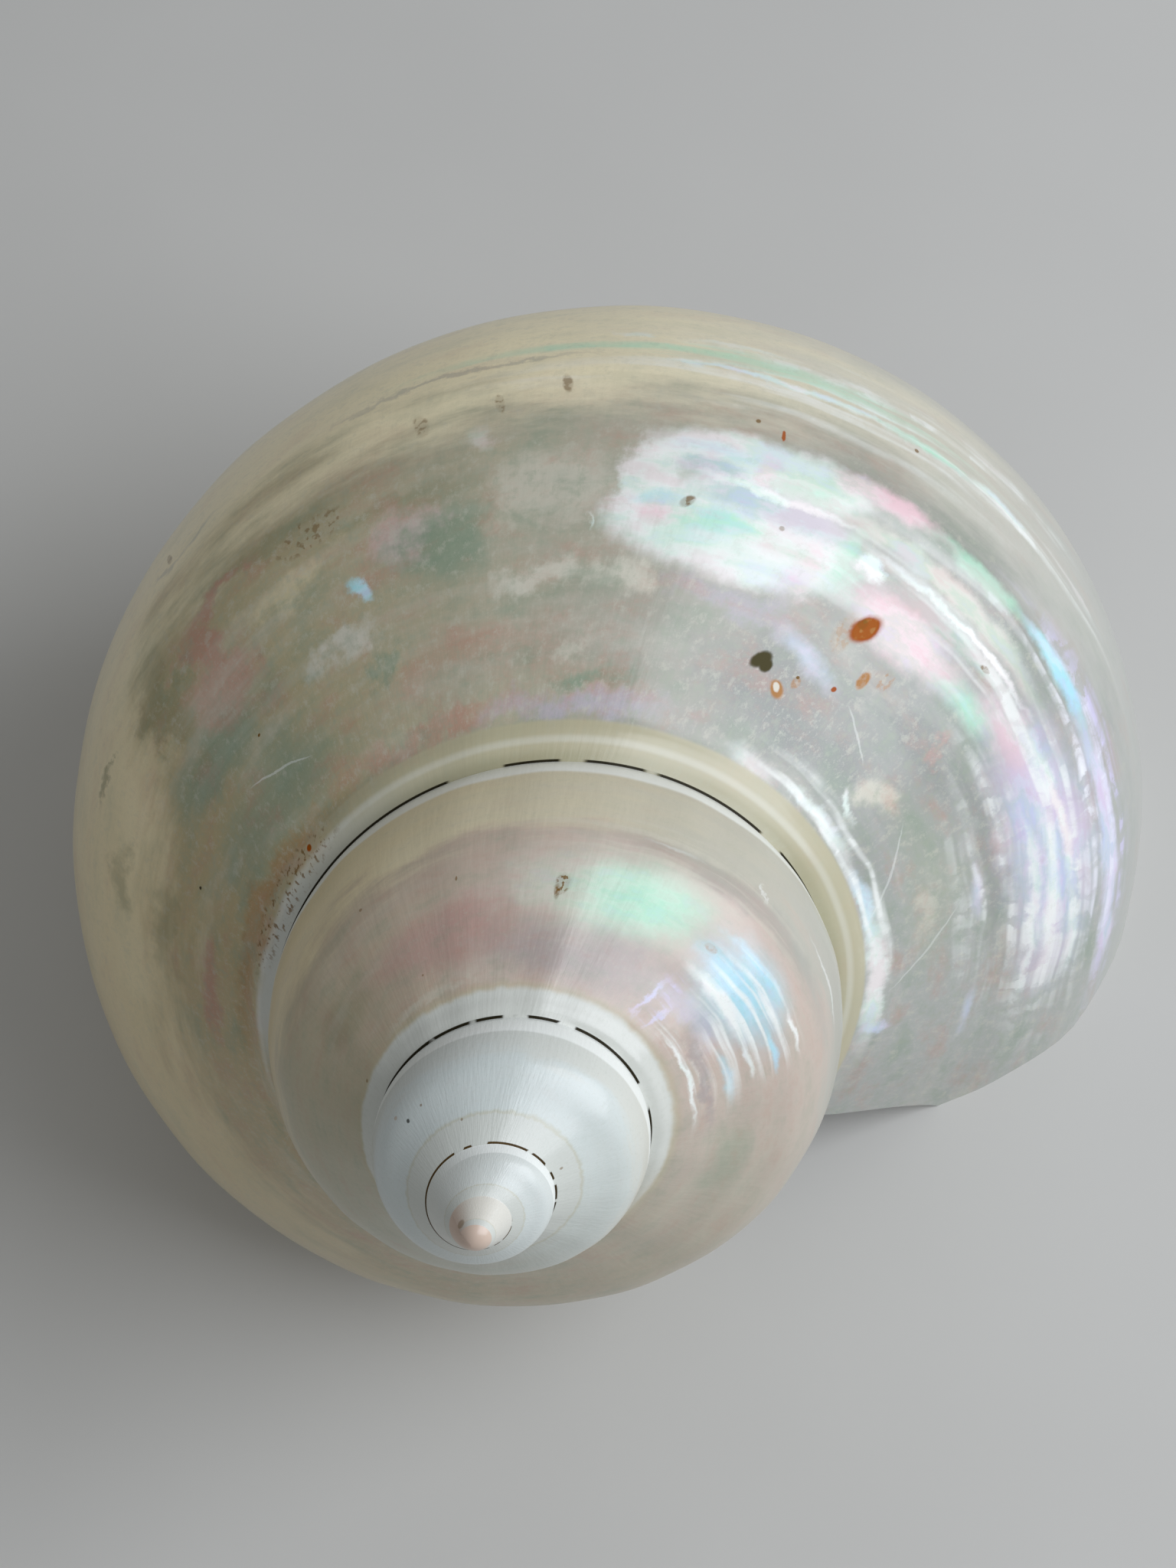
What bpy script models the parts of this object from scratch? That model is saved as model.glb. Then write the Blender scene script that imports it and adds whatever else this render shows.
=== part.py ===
"""Turban shell, one closed solid, lying with its mouth down on the plane z = 0.

The shell is a coiled tube. A point of the whorl outline is placed at
  distance from the coiling axis = seam radius * outline radius
  distance along the axis = seam depth + seam radius * outline depth
and both seam values grow with every turn. The seam is the spiral line where a
turn meets the one before it. The outer skin is one spiral sheet whose lower
edge runs exactly along the seam of the next turn, so it closes on itself. The
floor plane then cuts the lip flat, and a second, thinner tube is taken out of
the inside through the mouth.
"""
import bmesh
import bpy
import numpy as np
from mathutils import Matrix, Vector

# Seam of the last turn, metres, where it passes the right side of the shell
SEAM_RADIUS = 0.02059
SEAM_DEPTH = 0.03338

# Growth of the seam per turn: exp(a s + b s^2 + c s^3), s in turns
RADIUS_GROWTH = (0.799, -0.020, -0.0075)
DEPTH_GROWTH = (1.082, 0.281, 0.0835)

# Outline of one whorl in seam radii: (distance from axis, depth below the seam)
WHORL_OUTLINE = (
    (1.00, 0.00),
    (1.55, 0.47),
    (2.00, 0.84),
    (2.21, 1.30),
    (2.24, 1.90),
    (1.90, 2.48),
    (1.25, 2.70),
    (0.55, 2.68),
    (0.00, 2.55),
)

# Extent of the coil, turns from the reference point of the seam
FIRST_TURN = -4.4
LIP_TURN = 0.118
LIP_LAG = 0.014
LIP_LAG_START = 0.10

# Resting pose of the coil
AXIS_DIRECTION = (0.0423, 0.7320, -0.6800)
REFERENCE_DIRECTION = (0.9965, 0.0179, 0.0813)
APEX_POINT = (-0.0102, -0.0366, 0.04795)

# Hollow of the mouth and of the last turns
WALL = 0.0026
COLUMELLA = 0.24
HOLLOW_CENTRE = (1.19, 1.50)
HOLLOW_FIRST_TURN = -1.30
HOLLOW_LAST_TURN = 0.22
HOLLOW_ROUNDING_STEPS = 5

# Fineness of the facets
STEPS_PER_TURN = 44
ABOVE_SEAM_COLUMNS = 10
BASE_COLUMNS = 7
HOLLOW_STEPS_PER_TURN = 32
HOLLOW_SIDES = 24
FLOOR_MARGIN = 0.10
SHARP_ANGLE = 0.7


def clear_scene():
    for item in list(bpy.data.objects):
        bpy.data.objects.remove(item, do_unlink=True)


def seam(turn):
    """Radius and depth of the seam at a turn."""
    a, b, c = RADIUS_GROWTH
    radius = SEAM_RADIUS * np.exp(a * turn + b * turn**2 + c * turn**3)
    a, b, c = DEPTH_GROWTH
    depth = SEAM_DEPTH * np.exp(a * turn + b * turn**2 + c * turn**3)
    return radius, depth


def smooth_curve(points, samples):
    """Samples of a smooth curve through the given points, spaced by length."""
    points = np.array(points, dtype=float)
    before = 2.0 * points[:1] - points[1:2]
    after = 2.0 * points[-1:] - points[-2:-1]
    padded = np.concatenate([before, points, after])
    pieces = []
    for i in range(len(points) - 1):
        p0, p1, p2, p3 = padded[i:i + 4]
        t = np.linspace(0.0, 1.0, 24, endpoint=False)[:, None]
        pieces.append(0.5 * (2.0 * p1 + (p2 - p0) * t
                             + (2.0 * p0 - 5.0 * p1 + 4.0 * p2 - p3) * t**2
                             + (3.0 * p1 - p0 - 3.0 * p2 + p3) * t**3))
    dense = np.concatenate(pieces + [points[-1:]])
    length = np.concatenate([[0.0], np.cumsum(np.linalg.norm(np.diff(dense, axis=0), axis=1))])
    wanted = np.linspace(0.0, length[-1], samples)
    return np.stack([np.interp(wanted, length, dense[:, k]) for k in range(2)], axis=-1)


OUTLINE = smooth_curve(WHORL_OUTLINE, 400)


def next_seam(turn):
    """Place of the next turn's seam, in seam radii of this turn."""
    radius, depth = seam(turn)
    next_radius, next_depth = seam(turn + 1.0)
    return np.array([next_radius / radius, (next_depth - depth) / radius])


def seam_sample(target):
    """Number of the outline sample nearest to the target."""
    outer = OUTLINE[:300]
    return int(np.argmin(np.linalg.norm(outer - target, axis=1)))


def upper_outline(turn):
    """Outline from this seam down to the next one, ending exactly on it."""
    target = next_seam(turn)
    last = seam_sample(target)
    share = np.linspace(0.0, 1.0, ABOVE_SEAM_COLUMNS + 1)
    places = share * last
    line = np.stack([np.interp(places, np.arange(len(OUTLINE)), OUTLINE[:, k])
                     for k in range(2)], axis=-1)
    return line + (target - OUTLINE[last]) * (share**2)[:, None]


def full_outline(turn, meeting_turn):
    """Outline of the open last turn, from the seam round the base to the axis."""
    target = next_seam(meeting_turn)
    last = seam_sample(target)
    share = np.linspace(0.0, 1.0, ABOVE_SEAM_COLUMNS + 1)
    rest = np.linspace(0.0, 1.0, BASE_COLUMNS + 1)[1:]
    places = np.concatenate([share * last, last + rest * (len(OUTLINE) - 1 - last)])
    line = np.stack([np.interp(places, np.arange(len(OUTLINE)), OUTLINE[:, k])
                     for k in range(2)], axis=-1)
    fade = max(0.0, 1.0 - (turn - meeting_turn) / 0.25)
    weight = np.concatenate([share**2, (1.0 - rest)**2]) * fade**2
    return line + (target - OUTLINE[last]) * weight[:, None]


def pose_frame():
    """Two directions across the coiling axis and the axis itself."""
    axis = np.array(AXIS_DIRECTION) / np.linalg.norm(AXIS_DIRECTION)
    first = np.array(REFERENCE_DIRECTION)
    first = first - axis * np.dot(first, axis)
    first = first / np.linalg.norm(first)
    second = np.cross(axis, first)
    return first, second, axis


def place(turn, radius, depth):
    """World position of a point at a turn, a distance from the axis and a depth."""
    first, second, axis = pose_frame()
    angle = 2.0 * np.pi * turn
    return (np.array(APEX_POINT) + radius * (np.cos(angle) * first + np.sin(angle) * second)
            + depth * axis)


def skin_row(turn, line, lag):
    """World positions of one whorl outline at a turn."""
    radius, depth = seam(turn)
    return [tuple(place(turn - lag[j], radius * line[j, 0], depth + radius * line[j, 1]))
            for j in range(len(line))]


def lip_lag(turn, columns):
    """How far each column trails the seam close to the lip, in turns."""
    start = LIP_TURN - LIP_LAG_START
    grow = min(1.0, max(0.0, (turn - start) / LIP_LAG_START))
    across = np.minimum(1.0, np.arange(columns) / 3.0)
    return LIP_LAG * grow**2 * across * across * (3.0 - 2.0 * across)


def outer_skin():
    """Closed spiral skin of the whole shell, mouth still shut by a flat fan."""
    first_row = int(round((FIRST_TURN - LIP_TURN) * STEPS_PER_TURN))
    turns = [LIP_TURN + step / STEPS_PER_TURN for step in range(first_row, 1)]
    rows = len(turns)
    meeting = rows - 1 - STEPS_PER_TURN
    points = []
    grid = []
    for i, turn in enumerate(turns):
        if i < meeting:
            line = upper_outline(turn)
        else:
            line = full_outline(turn, turns[meeting])
        grid.append(list(range(len(points), len(points) + len(line))))
        points += skin_row(turn, line, lip_lag(turn, len(line)))
    # The seam of each turn is the lower edge of the turn before it
    for i in range(meeting + 1):
        grid[i][ABOVE_SEAM_COLUMNS] = grid[i + STEPS_PER_TURN][0]
    faces = []
    for i in range(rows - 1):
        columns = ABOVE_SEAM_COLUMNS
        if i >= meeting:
            columns = ABOVE_SEAM_COLUMNS + BASE_COLUMNS
        for j in range(columns):
            faces.append((grid[i][j], grid[i + 1][j], grid[i + 1][j + 1], grid[i][j + 1]))
    # Tip of the spire, closed over the seam of the first turn
    tip = len(points)
    points.append(tuple(place(0.0, 0.0, 0.0)))
    around = [grid[i][0] for i in range(STEPS_PER_TURN + 1)]
    around += grid[0][1:ABOVE_SEAM_COLUMNS][::-1]
    for k in range(len(around)):
        faces.append((tip, around[(k + 1) % len(around)], around[k]))
    # Flat fan over the mouth: lip, columella line, inner wall
    border = list(grid[rows - 1])
    border += [grid[i][-1] for i in range(rows - 2, meeting - 1, -1)]
    border += grid[meeting][ABOVE_SEAM_COLUMNS + 1:-1][::-1]
    radius, depth = seam(LIP_TURN)
    middle = len(points)
    points.append(tuple(place(LIP_TURN - LIP_LAG, radius * HOLLOW_CENTRE[0],
                              depth + radius * HOLLOW_CENTRE[1])))
    for k in range(len(border)):
        faces.append((middle, border[k], border[(k + 1) % len(border)]))
    return make_object("shell", points, faces)


def hollow_reach(turn):
    """Directions and reach of the hollow about its centre, in seam radii.

    The reach is the distance to the outer wall, to the base of the turn before
    or to the columella, whichever the direction meets, less the wall, and then
    rounded off by averaging over neighbouring directions.
    """
    radius, depth = seam(turn)
    before_radius, before_depth = seam(turn - 1.0)
    inner = np.stack([OUTLINE[:, 0] * before_radius,
                      before_depth - depth + OUTLINE[:, 1] * before_radius], axis=-1) / radius
    start = int(np.argmin(np.linalg.norm(inner - OUTLINE[0], axis=1)))
    column_depths = np.linspace(OUTLINE[-1, 1], inner[-1, 1], 30)
    column = np.stack([np.zeros(len(column_depths)), column_depths], axis=-1)
    border = np.concatenate([OUTLINE, column, inner[start:][::-1]])
    border[:, 0] = np.maximum(border[:, 0], COLUMELLA)
    away = border - np.array(HOLLOW_CENTRE)
    angles = np.arctan2(away[:, 1], away[:, 0])
    lengths = np.linalg.norm(away, axis=1)
    order = np.argsort(angles)
    directions = 2.0 * np.pi * np.arange(4 * HOLLOW_SIDES) / (4 * HOLLOW_SIDES) - np.pi
    reach = np.interp(directions, angles[order], lengths[order], period=2.0 * np.pi)
    reach = reach - WALL / radius
    for _ in range(10):
        reach = 0.25 * np.roll(reach, 1) + 0.5 * reach + 0.25 * np.roll(reach, -1)
    return directions[::4], reach[::4]


def hollow_tube():
    """Closed tube of the living chamber, rounded at its inner end."""
    count = int(round((HOLLOW_LAST_TURN - HOLLOW_FIRST_TURN) * HOLLOW_STEPS_PER_TURN))
    points = []
    rings = []
    for i in range(count + 1):
        turn = HOLLOW_FIRST_TURN + i / HOLLOW_STEPS_PER_TURN
        radius, depth = seam(turn)
        near_end = min(1.0, (i + 0.35) / HOLLOW_ROUNDING_STEPS)
        rounding = np.sqrt(1.0 - (1.0 - near_end)**2)
        directions, reach = hollow_reach(turn)
        across = HOLLOW_CENTRE[0] + rounding * reach * np.cos(directions)
        along = HOLLOW_CENTRE[1] + rounding * reach * np.sin(directions)
        ring = []
        for k in range(HOLLOW_SIDES):
            ring.append(len(points))
            points.append(tuple(place(turn, radius * across[k], depth + radius * along[k])))
        rings.append(ring)
    faces = []
    for i in range(count):
        for k in range(HOLLOW_SIDES):
            m = (k + 1) % HOLLOW_SIDES
            faces.append((rings[i][k], rings[i + 1][k], rings[i + 1][m], rings[i][m]))
    for i, turn in ((0, HOLLOW_FIRST_TURN), (count, HOLLOW_LAST_TURN)):
        radius, depth = seam(turn)
        middle = len(points)
        points.append(tuple(place(turn, radius * HOLLOW_CENTRE[0],
                                  depth + radius * HOLLOW_CENTRE[1])))
        for k in range(HOLLOW_SIDES):
            m = (k + 1) % HOLLOW_SIDES
            if i == 0:
                faces.append((middle, rings[i][k], rings[i][m]))
            else:
                faces.append((middle, rings[i][m], rings[i][k]))
    return make_object("hollow", points, faces)


def floor_block():
    """Block below the floor plane, used to cut the lip flat."""
    w = FLOOR_MARGIN
    corners = [(-w, -w, -w), (w, -w, -w), (w, w, -w), (-w, w, -w),
               (-w, -w, 0.0), (w, -w, 0.0), (w, w, 0.0), (-w, w, 0.0)]
    faces = [(0, 3, 2, 1), (4, 5, 6, 7), (0, 1, 5, 4), (1, 2, 6, 5), (2, 3, 7, 6), (3, 0, 4, 7)]
    return make_object("floor_block", corners, faces)


def make_object(name, points, faces):
    """Triangulated mesh object with its faces turned outward."""
    mesh = bpy.data.meshes.new(name)
    mesh.from_pydata(points, [], faces)
    work = bmesh.new()
    work.from_mesh(mesh)
    unused = [vert for vert in work.verts if not vert.link_faces]
    bmesh.ops.delete(work, geom=unused, context="VERTS")
    bmesh.ops.triangulate(work, faces=work.faces[:])
    bmesh.ops.recalc_face_normals(work, faces=work.faces[:])
    work.to_mesh(mesh)
    work.free()
    item = bpy.data.objects.new(name, mesh)
    bpy.context.collection.objects.link(item)
    return item


def take_away(item, cutter):
    """Exact difference of two solids; the cutter is removed afterwards."""
    step = item.modifiers.new("cut", "BOOLEAN")
    step.operation = "DIFFERENCE"
    step.solver = "EXACT"
    step.object = cutter
    bpy.context.view_layer.update()
    evaluated = item.evaluated_get(bpy.context.evaluated_depsgraph_get())
    mesh = bpy.data.meshes.new_from_object(evaluated)
    item.modifiers.clear()
    item.data = mesh
    bpy.data.objects.remove(cutter, do_unlink=True)


def tidy(item):
    """Merge doubled points, triangulate and put the origin under the middle."""
    work = bmesh.new()
    work.from_mesh(item.data)
    bmesh.ops.remove_doubles(work, verts=work.verts[:], dist=0.00001)
    bmesh.ops.dissolve_degenerate(work, edges=work.edges[:], dist=0.00001)
    bmesh.ops.triangulate(work, faces=work.faces[:])
    low = Vector([min(vert.co[k] for vert in work.verts) for k in range(3)])
    high = Vector([max(vert.co[k] for vert in work.verts) for k in range(3)])
    shift = Vector((-(low.x + high.x) / 2.0, -(low.y + high.y) / 2.0, -low.z))
    work.transform(Matrix.Translation(shift))
    work.to_mesh(item.data)
    work.free()
    item.data.shade_smooth()
    item.data.set_sharp_from_angle(angle=SHARP_ANGLE)


def pearl_material():
    material = bpy.data.materials.new("polished_nacre")
    material.use_nodes = True
    shader = material.node_tree.nodes["Principled BSDF"]
    shader.inputs["Base Color"].default_value = (0.62, 0.60, 0.53, 1.0)
    shader.inputs["Roughness"].default_value = 0.22
    return material


def build():
    clear_scene()
    shell = outer_skin()
    take_away(shell, floor_block())
    take_away(shell, hollow_tube())
    tidy(shell)
    shell.data.materials.clear()
    shell.data.materials.append(pearl_material())


build()
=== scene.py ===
import math

import bmesh
import bpy
import numpy as np
from mathutils import Matrix, Vector


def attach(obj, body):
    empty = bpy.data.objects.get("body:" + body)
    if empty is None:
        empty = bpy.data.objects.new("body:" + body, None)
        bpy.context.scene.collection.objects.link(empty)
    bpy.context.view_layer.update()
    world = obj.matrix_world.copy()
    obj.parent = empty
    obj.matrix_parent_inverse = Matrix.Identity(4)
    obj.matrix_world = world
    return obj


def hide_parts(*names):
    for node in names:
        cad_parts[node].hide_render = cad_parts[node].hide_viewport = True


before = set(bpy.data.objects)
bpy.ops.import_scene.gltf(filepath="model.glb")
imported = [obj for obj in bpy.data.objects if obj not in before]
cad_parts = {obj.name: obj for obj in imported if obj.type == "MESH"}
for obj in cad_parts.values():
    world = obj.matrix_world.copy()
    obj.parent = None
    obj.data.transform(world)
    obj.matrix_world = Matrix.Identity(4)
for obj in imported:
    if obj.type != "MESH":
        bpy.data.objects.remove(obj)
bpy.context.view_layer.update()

bl_info = {
    "name": "Turban shell",
    "version": (1, 0, 0),
    "blender": (4, 5, 0),
    "location": "3D View > Sidebar > Shell",
    "description": "Builds a polished turban shell on its packed solid, with its floor, light and camera",
    "category": "Add Mesh",
}

MM = 0.001

# Units of the painted map: millimetres on the last turn, along the coil and down from the seam
ALONG_PER_TURN = 236.0
DOWN_PER_TURN = 48.0

# Extent of the coil, turns from the reference point of the seam
FIRST_TURN = -4.4
LIP_TURN = 0.118
LIP_LAG = 0.014
LIP_LAG_START = 0.1

# Growth of the seam per turn: exp(a s + b s^2 + c s^3), s in turns
RADIUS_GROWTH = (0.799, -0.02, -0.0075)
DEPTH_GROWTH = (1.082, 0.281, 0.0835)
CONE_TURN = -3.2
CONE_BLEND = (-2.5, -3.0)
WORN_BLEND = (-3.35, -3.1)
# How fast the little cone deepens with its radius: rounded at the tip, straighter below
TIP_POWER = 1.75
CONE_POWER = 1.3

# Outline of one whorl in seam radii: (distance from axis, depth below the seam)
WHORL_OUTLINE = (
    (1.0, 0.0), (1.55, 0.47), (2.0, 0.84), (2.21, 1.3), (2.24, 1.9), (1.9, 2.48), (1.25, 2.7),
    (0.55, 2.68), (0.0, 2.55),
)
# Share of the outline over which its bends are eased, and the part on which the next seam can lie
EASED_SHARE = 0.035
OUTER_SHARE = 0.75
# Part of a turn over which the open lip leaves the line of the next seam
LEAVING_TURN = 0.25

# Resting pose of the coil
AXIS_DIRECTION = (0.0423, 0.732, -0.68)
REFERENCE_DIRECTION = (0.9965, 0.0179, 0.0813)
APEX_POINT = (-0.0102, -0.0366, 0.04795)

# Hollow of the mouth and of the last turns
COLUMELLA = 0.24
HOLLOW_CENTRE = (1.19, 1.5)
HOLLOW_FIRST_TURN = -1.3
HOLLOW_LAST_TURN = 0.22
# Length of its rounded inner end in turns, where that starts, and how often its reach is averaged
HOLLOW_END_LENGTH = 0.156
HOLLOW_END_START = 0.01
HOLLOW_AVERAGES = 50
COLUMN_POINTS = 30

# Place where the seam strays from its formula, and how far, as a share of the whorl line
SLIP_TURN = -0.455
SLIP_LENGTH = 0.065
SLIP = 0.035
SLIP_SHARE = 0.15

# Stretches of the coil, each with a nacre material that holds only its own patches: (name, last turn)
STRETCHES = (
    ("spire", -1.56), ("before_left", -1.15), ("before_right", -0.62), ("last_left", -0.28),
    ("last_middle", -0.1), ("last_right", 9.0),
)
PATCH_MARGIN = 8.0
BEFORE_END = -0.63

# How far the edges of clouds, painted highlights and marks wander, in map mm: (along, down)
WANDER = ((16.0, 6.0), (7.0, 2.4), (1.0, 0.6))
# How far the ground colours wander along the coil in turns, and the border between them down it
GROUND_WANDER = 0.14
BORDER_WANDER = 22.0
# How far the painted highlight lines bend, in map mm: (along, down)
LINE_BEND = (6.0, 2.6)
# Share of the pastel play of colour in the painted highlight patches of the last turn and of the one before
LAST_PLAY = 0.3
BEFORE_PLAY = 0.15

# Half width of the block that cuts the lip flat
BLOCK_HALF = 0.1

# Fineness of the meshes
STEPS_PER_TURN = 300
UPPER_COLUMNS = 46
BASE_COLUMNS = 26
HOLLOW_STEPS_PER_TURN = 72
HOLLOW_SIDES = 56
OUTLINE_SAMPLES = 4000
SEGMENT_SAMPLES = 200
# Above 1, the columns crowd towards the upper seam
CROWDING = 1.35
# Finer steps of direction over which the hollow is averaged, and steps between the outline samples it takes
HOLLOW_FINENESS = 4
HOLLOW_SKIP = 10
SHARP_ANGLE = 0.9
MERGE_DISTANCE = 0.000002
FEWEST_FACES = 1000

# Low spiral ridges: (share of the way down, half width, height in mm, first turn, last turn)
SPIRAL_RIDGES = (
    (0.1, 0.03, 0.1, -0.4, 0.2), (0.24, 0.035, 0.08, -0.45, 0.2),
    (0.355, 0.035, 0.2, -0.24, 0.2), (0.475, 0.04, 0.22, -0.26, 0.2),
    (0.61, 0.03, 0.18, -0.3, 0.2), (0.7, 0.03, 0.12, -0.3, 0.2),
    (0.17, 0.04, 0.1, -1.2, -0.85), (0.33, 0.05, 0.14, -1.25, -0.85),
    (0.45, 0.045, 0.12, -1.25, -0.85),
)
# How far the ridges stray, as a share of the way down, and how much their height varies:
# (amount, waves per turn, change of phase with the ridge's place)
RIDGE_DRIFT = (0.01, 3.1, 4.0)
RIDGE_UNEVENNESS = (0.25, 9.3, 7.0)
# Growth swells: (waves per turn, waves down a turn, phase, height)
SWELLS = ((15.0, 0.35, 0.0, 0.5), (23.7, -0.2, 0.3, 0.3), (6.1, 0.8, 0.1, 0.25))
# Band below the seam and the groove beside it: (share of the way down, half width, height)
SEAM_BANDS = ((0.035, 0.02, 1.0), (0.075, 0.016, -0.7))
# Turns over which the swells and the band grow to their full height
SWELL_BLEND = (-2.6, -0.9)
BAND_BLEND = (-1.6, -0.6)

# Stage: a pale board, one large soft window and the viewpoint, in metres
FLOOR_HALF = 3.0
WINDOW_SIZE = (0.38, 0.46)
WINDOW_POWER = 2.2
WINDOW_PLACE = (0.37, -0.03, 0.27)
WINDOW_AIM = (0.0, 0.0, 0.02)
ROOM_STRENGTH = 0.35
CAMERA_PLACE = (-0.004, -0.06584, 0.17452)
CAMERA_FORWARD = (0.0, 0.4074, -0.9132)
CAMERA_RIGHT = (1.0, 0.0019, 0.0009)
# Focal length in pixels of the 1536 x 2048 image, and height of the film in millimetres
FOCAL_PIXELS = 3100.0
IMAGE_HEIGHT = 2048.0
FILM_HEIGHT = 36.0


def srgb(code):
    """Linear colour of an sRGB hex value."""
    values = [int(code[i:i + 2], 16) / 255.0 for i in (1, 3, 5)]
    return tuple(v / 12.92 if v <= 0.04045 else ((v + 0.055) / 1.055)**2.4 for v in values)


def size(name, text, value):
    """One length property of a panel."""
    return bpy.props.FloatProperty(name=name, description=text, default=value,
                                   unit="LENGTH", subtype="DISTANCE", precision=5)


def tint(name, code):
    """One colour property of a panel."""
    return bpy.props.FloatVectorProperty(name=name, description="Tone of: " + name.lower(),
                                         default=srgb(code), subtype="COLOR", size=3, min=0.0, max=1.0)


class ShellSizes(bpy.types.PropertyGroup):
    """Sizes of the shell"""

    seam_radius: size("Seam radius", "Distance of the last turn's seam from the coiling axis", 0.02059)
    seam_depth: size("Seam depth", "Depth of the last turn's seam below the tip, along the axis", 0.03338)
    wall: size("Wall", "Thickness of the wall round the living chamber", 0.0026)
    ridge_height: bpy.props.FloatProperty(
        name="Ridge height", description="Height of the low spiral ridges, as a share of their usual one",
        default=1.0, min=0.0, max=2.0)
    swell_height: size("Swell height", "Height of the broad growth swells that cross the turns", 0.00005)
    cone_depth: size("Cone depth", "Depth of the seam round the little cone at the tip", 0.00245)
    band_height: size("Band height", "Height of the rounded band just below the seam", 0.00022)


class ShellColours(bpy.types.PropertyGroup):
    """Tones of the mother-of-pearl, of its painted highlights and shade, and of the grime on it"""

    moss: tint("Dark green clouds", "#7C7A52")
    sage: tint("Grey green clouds", "#9DA690")
    teal: tint("Cool green clouds", "#7F967F")
    slate: tint("Cool grey clouds of the lit side", "#868986")
    mauve: tint("Brownish pink clouds", "#B98573")
    rose: tint("Pink clouds of the turn before the last", "#B8938A")
    dusk: tint("Violet brown clouds", "#A69B99")
    lilac: tint("Violet grey clouds", "#B7B0BF")
    tan: tint("Tan line below the seam", "#AC8A58")
    butter: tint("Pale yellow clouds", "#E8DAB2")
    pearl: tint("Pale clouds", "#D0CCBC")
    # Grey inside the painted reflection lobes
    haze: tint("Grey inside the bright lobes", "#BCC1CB")
    fold: tint("Grey shade beside a ridge", "#A7A69E")
    chalk: tint("Chalky white below the seam", "#CFD3CE")
    cream: tint("Yellowish band below the seam", "#B9B292")
    # Mint, blush, sky, violet and white are mostly painted highlights of the window's reflection; they are
    # also the chamber's own nacre, a blush cloud, and the white rims and scratches
    mint: tint("Green mother-of-pearl colour", "#ABE6C6")
    blush: tint("Pink mother-of-pearl colour", "#EFCBD2")
    sky: tint("Blue mother-of-pearl colour", "#A9DDF0")
    violet: tint("Violet mother-of-pearl colour", "#D2CBEF")
    white: tint("Brightest mother-of-pearl", "#F1F4F0")
    # The crack tone is grime in the open seam and also the painted shade of its crease
    crack: tint("Dirt in the open seam", "#262214")
    rust: tint("Rust in the pit", "#A24C00")
    ochre: tint("Ochre stain", "#A86C00")
    bore: tint("Old bore hole, filled", "#4A4426")
    brown: tint("Dry brown residue", "#775722")
    ivory: tint("Little cone at the tip", "#DCD4C6")
    porcelain: tint("Bluish white of the first turns", "#D0D9D8")
    olive: tint("Olive ground", "#AEA276")
    straw: tint("Straw yellow ground", "#BFA97B")
    clay: tint("Pinkish grey ground", "#C5B2A7")
    stone: tint("Warm grey ground", "#B8B3A2")
    ash: tint("Cool grey ground", "#ABADA9")
    sand: tint("Sandy ground", "#DCC99C")
    custard: tint("Pale yellow ground", "#FDF0C8")
    peach: tint("Worn tip of the spire", "#C89A80")


def smooth_step(low, high, value):
    """0 at low, 1 at high and a smooth change between."""
    t = np.clip((value - low) / (high - low), 0.0, 1.0)
    return t * t * (3.0 - 2.0 * t)


def growth(rates, turns):
    """Growth of a seam value: the exponential of a polynomial in turns."""
    a, b, c = rates
    return np.exp(a * turns + b * turns**2 + c * turns**3)


def seam(turns):
    """Radius and depth of the seam at each turn.

    Both grow by their rates. On the first turns the depth follows a power of the radius
    instead, which makes the little cone at the tip.
    """
    sizes = bpy.context.scene.shell_sizes
    radius = sizes.seam_radius * growth(RADIUS_GROWTH, turns)
    depth = sizes.seam_depth * growth(DEPTH_GROWTH, turns)
    cone_radius = sizes.seam_radius * growth(RADIUS_GROWTH, CONE_TURN)
    power = np.where(radius < cone_radius, TIP_POWER, CONE_POWER)
    cone = sizes.cone_depth * (radius / cone_radius)**power
    return radius, depth + (cone - depth) * smooth_step(*CONE_BLEND, turns)


def whorl_line():
    """Smooth curve through the outline points, evenly spaced, its bends eased by a moving average."""
    points = np.array(WHORL_OUTLINE)
    padded = np.concatenate([2.0 * points[:1] - points[1:2], points, 2.0 * points[-1:] - points[-2:-1]])
    t = np.linspace(0.0, 1.0, SEGMENT_SAMPLES, endpoint=False)[None, :, None]
    a, b, c, d = padded[:-3, None], padded[1:-2, None], padded[2:-1, None], padded[3:, None]
    line = 0.5 * (2.0 * b + (c - a) * t + (2.0 * a - 5.0 * b + 4.0 * c - d) * t**2
                  + (3.0 * b - a - 3.0 * c + d) * t**3)
    line = np.concatenate([line.reshape(-1, 2), points[-1:]])
    length = np.concatenate([[0.0], np.cumsum(np.hypot(*np.diff(line, axis=0).T))])
    wanted = np.linspace(0.0, length[-1], OUTLINE_SAMPLES)
    line = np.stack([np.interp(wanted, length, line[:, k]) for k in range(2)], axis=-1)
    reach = int(OUTLINE_SAMPLES * EASED_SHARE)
    longer = np.concatenate([2.0 * line[:1] - line[reach:0:-1], line,
                             2.0 * line[-1:] - line[-2:-reach - 2:-1]])
    weights = np.hanning(2 * reach + 1)
    weights = weights / weights.sum()
    return np.stack([np.convolve(longer[:, k], weights, "valid") for k in range(2)], axis=-1)


OUTLINE = whorl_line()


def place(turns, radius, depth):
    """World positions: around the coiling axis by the turn, out by the radius, along by the depth."""
    axis = np.array(AXIS_DIRECTION) / np.linalg.norm(AXIS_DIRECTION)
    first = np.array(REFERENCE_DIRECTION)
    first = first - axis * np.dot(first, axis)
    first = first / np.linalg.norm(first)
    second = np.cross(axis, first)
    angle = 2.0 * np.pi * turns
    return (np.array(APEX_POINT) + (radius * np.cos(angle))[..., None] * first
            + (radius * np.sin(angle))[..., None] * second + depth[..., None] * axis)


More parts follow.
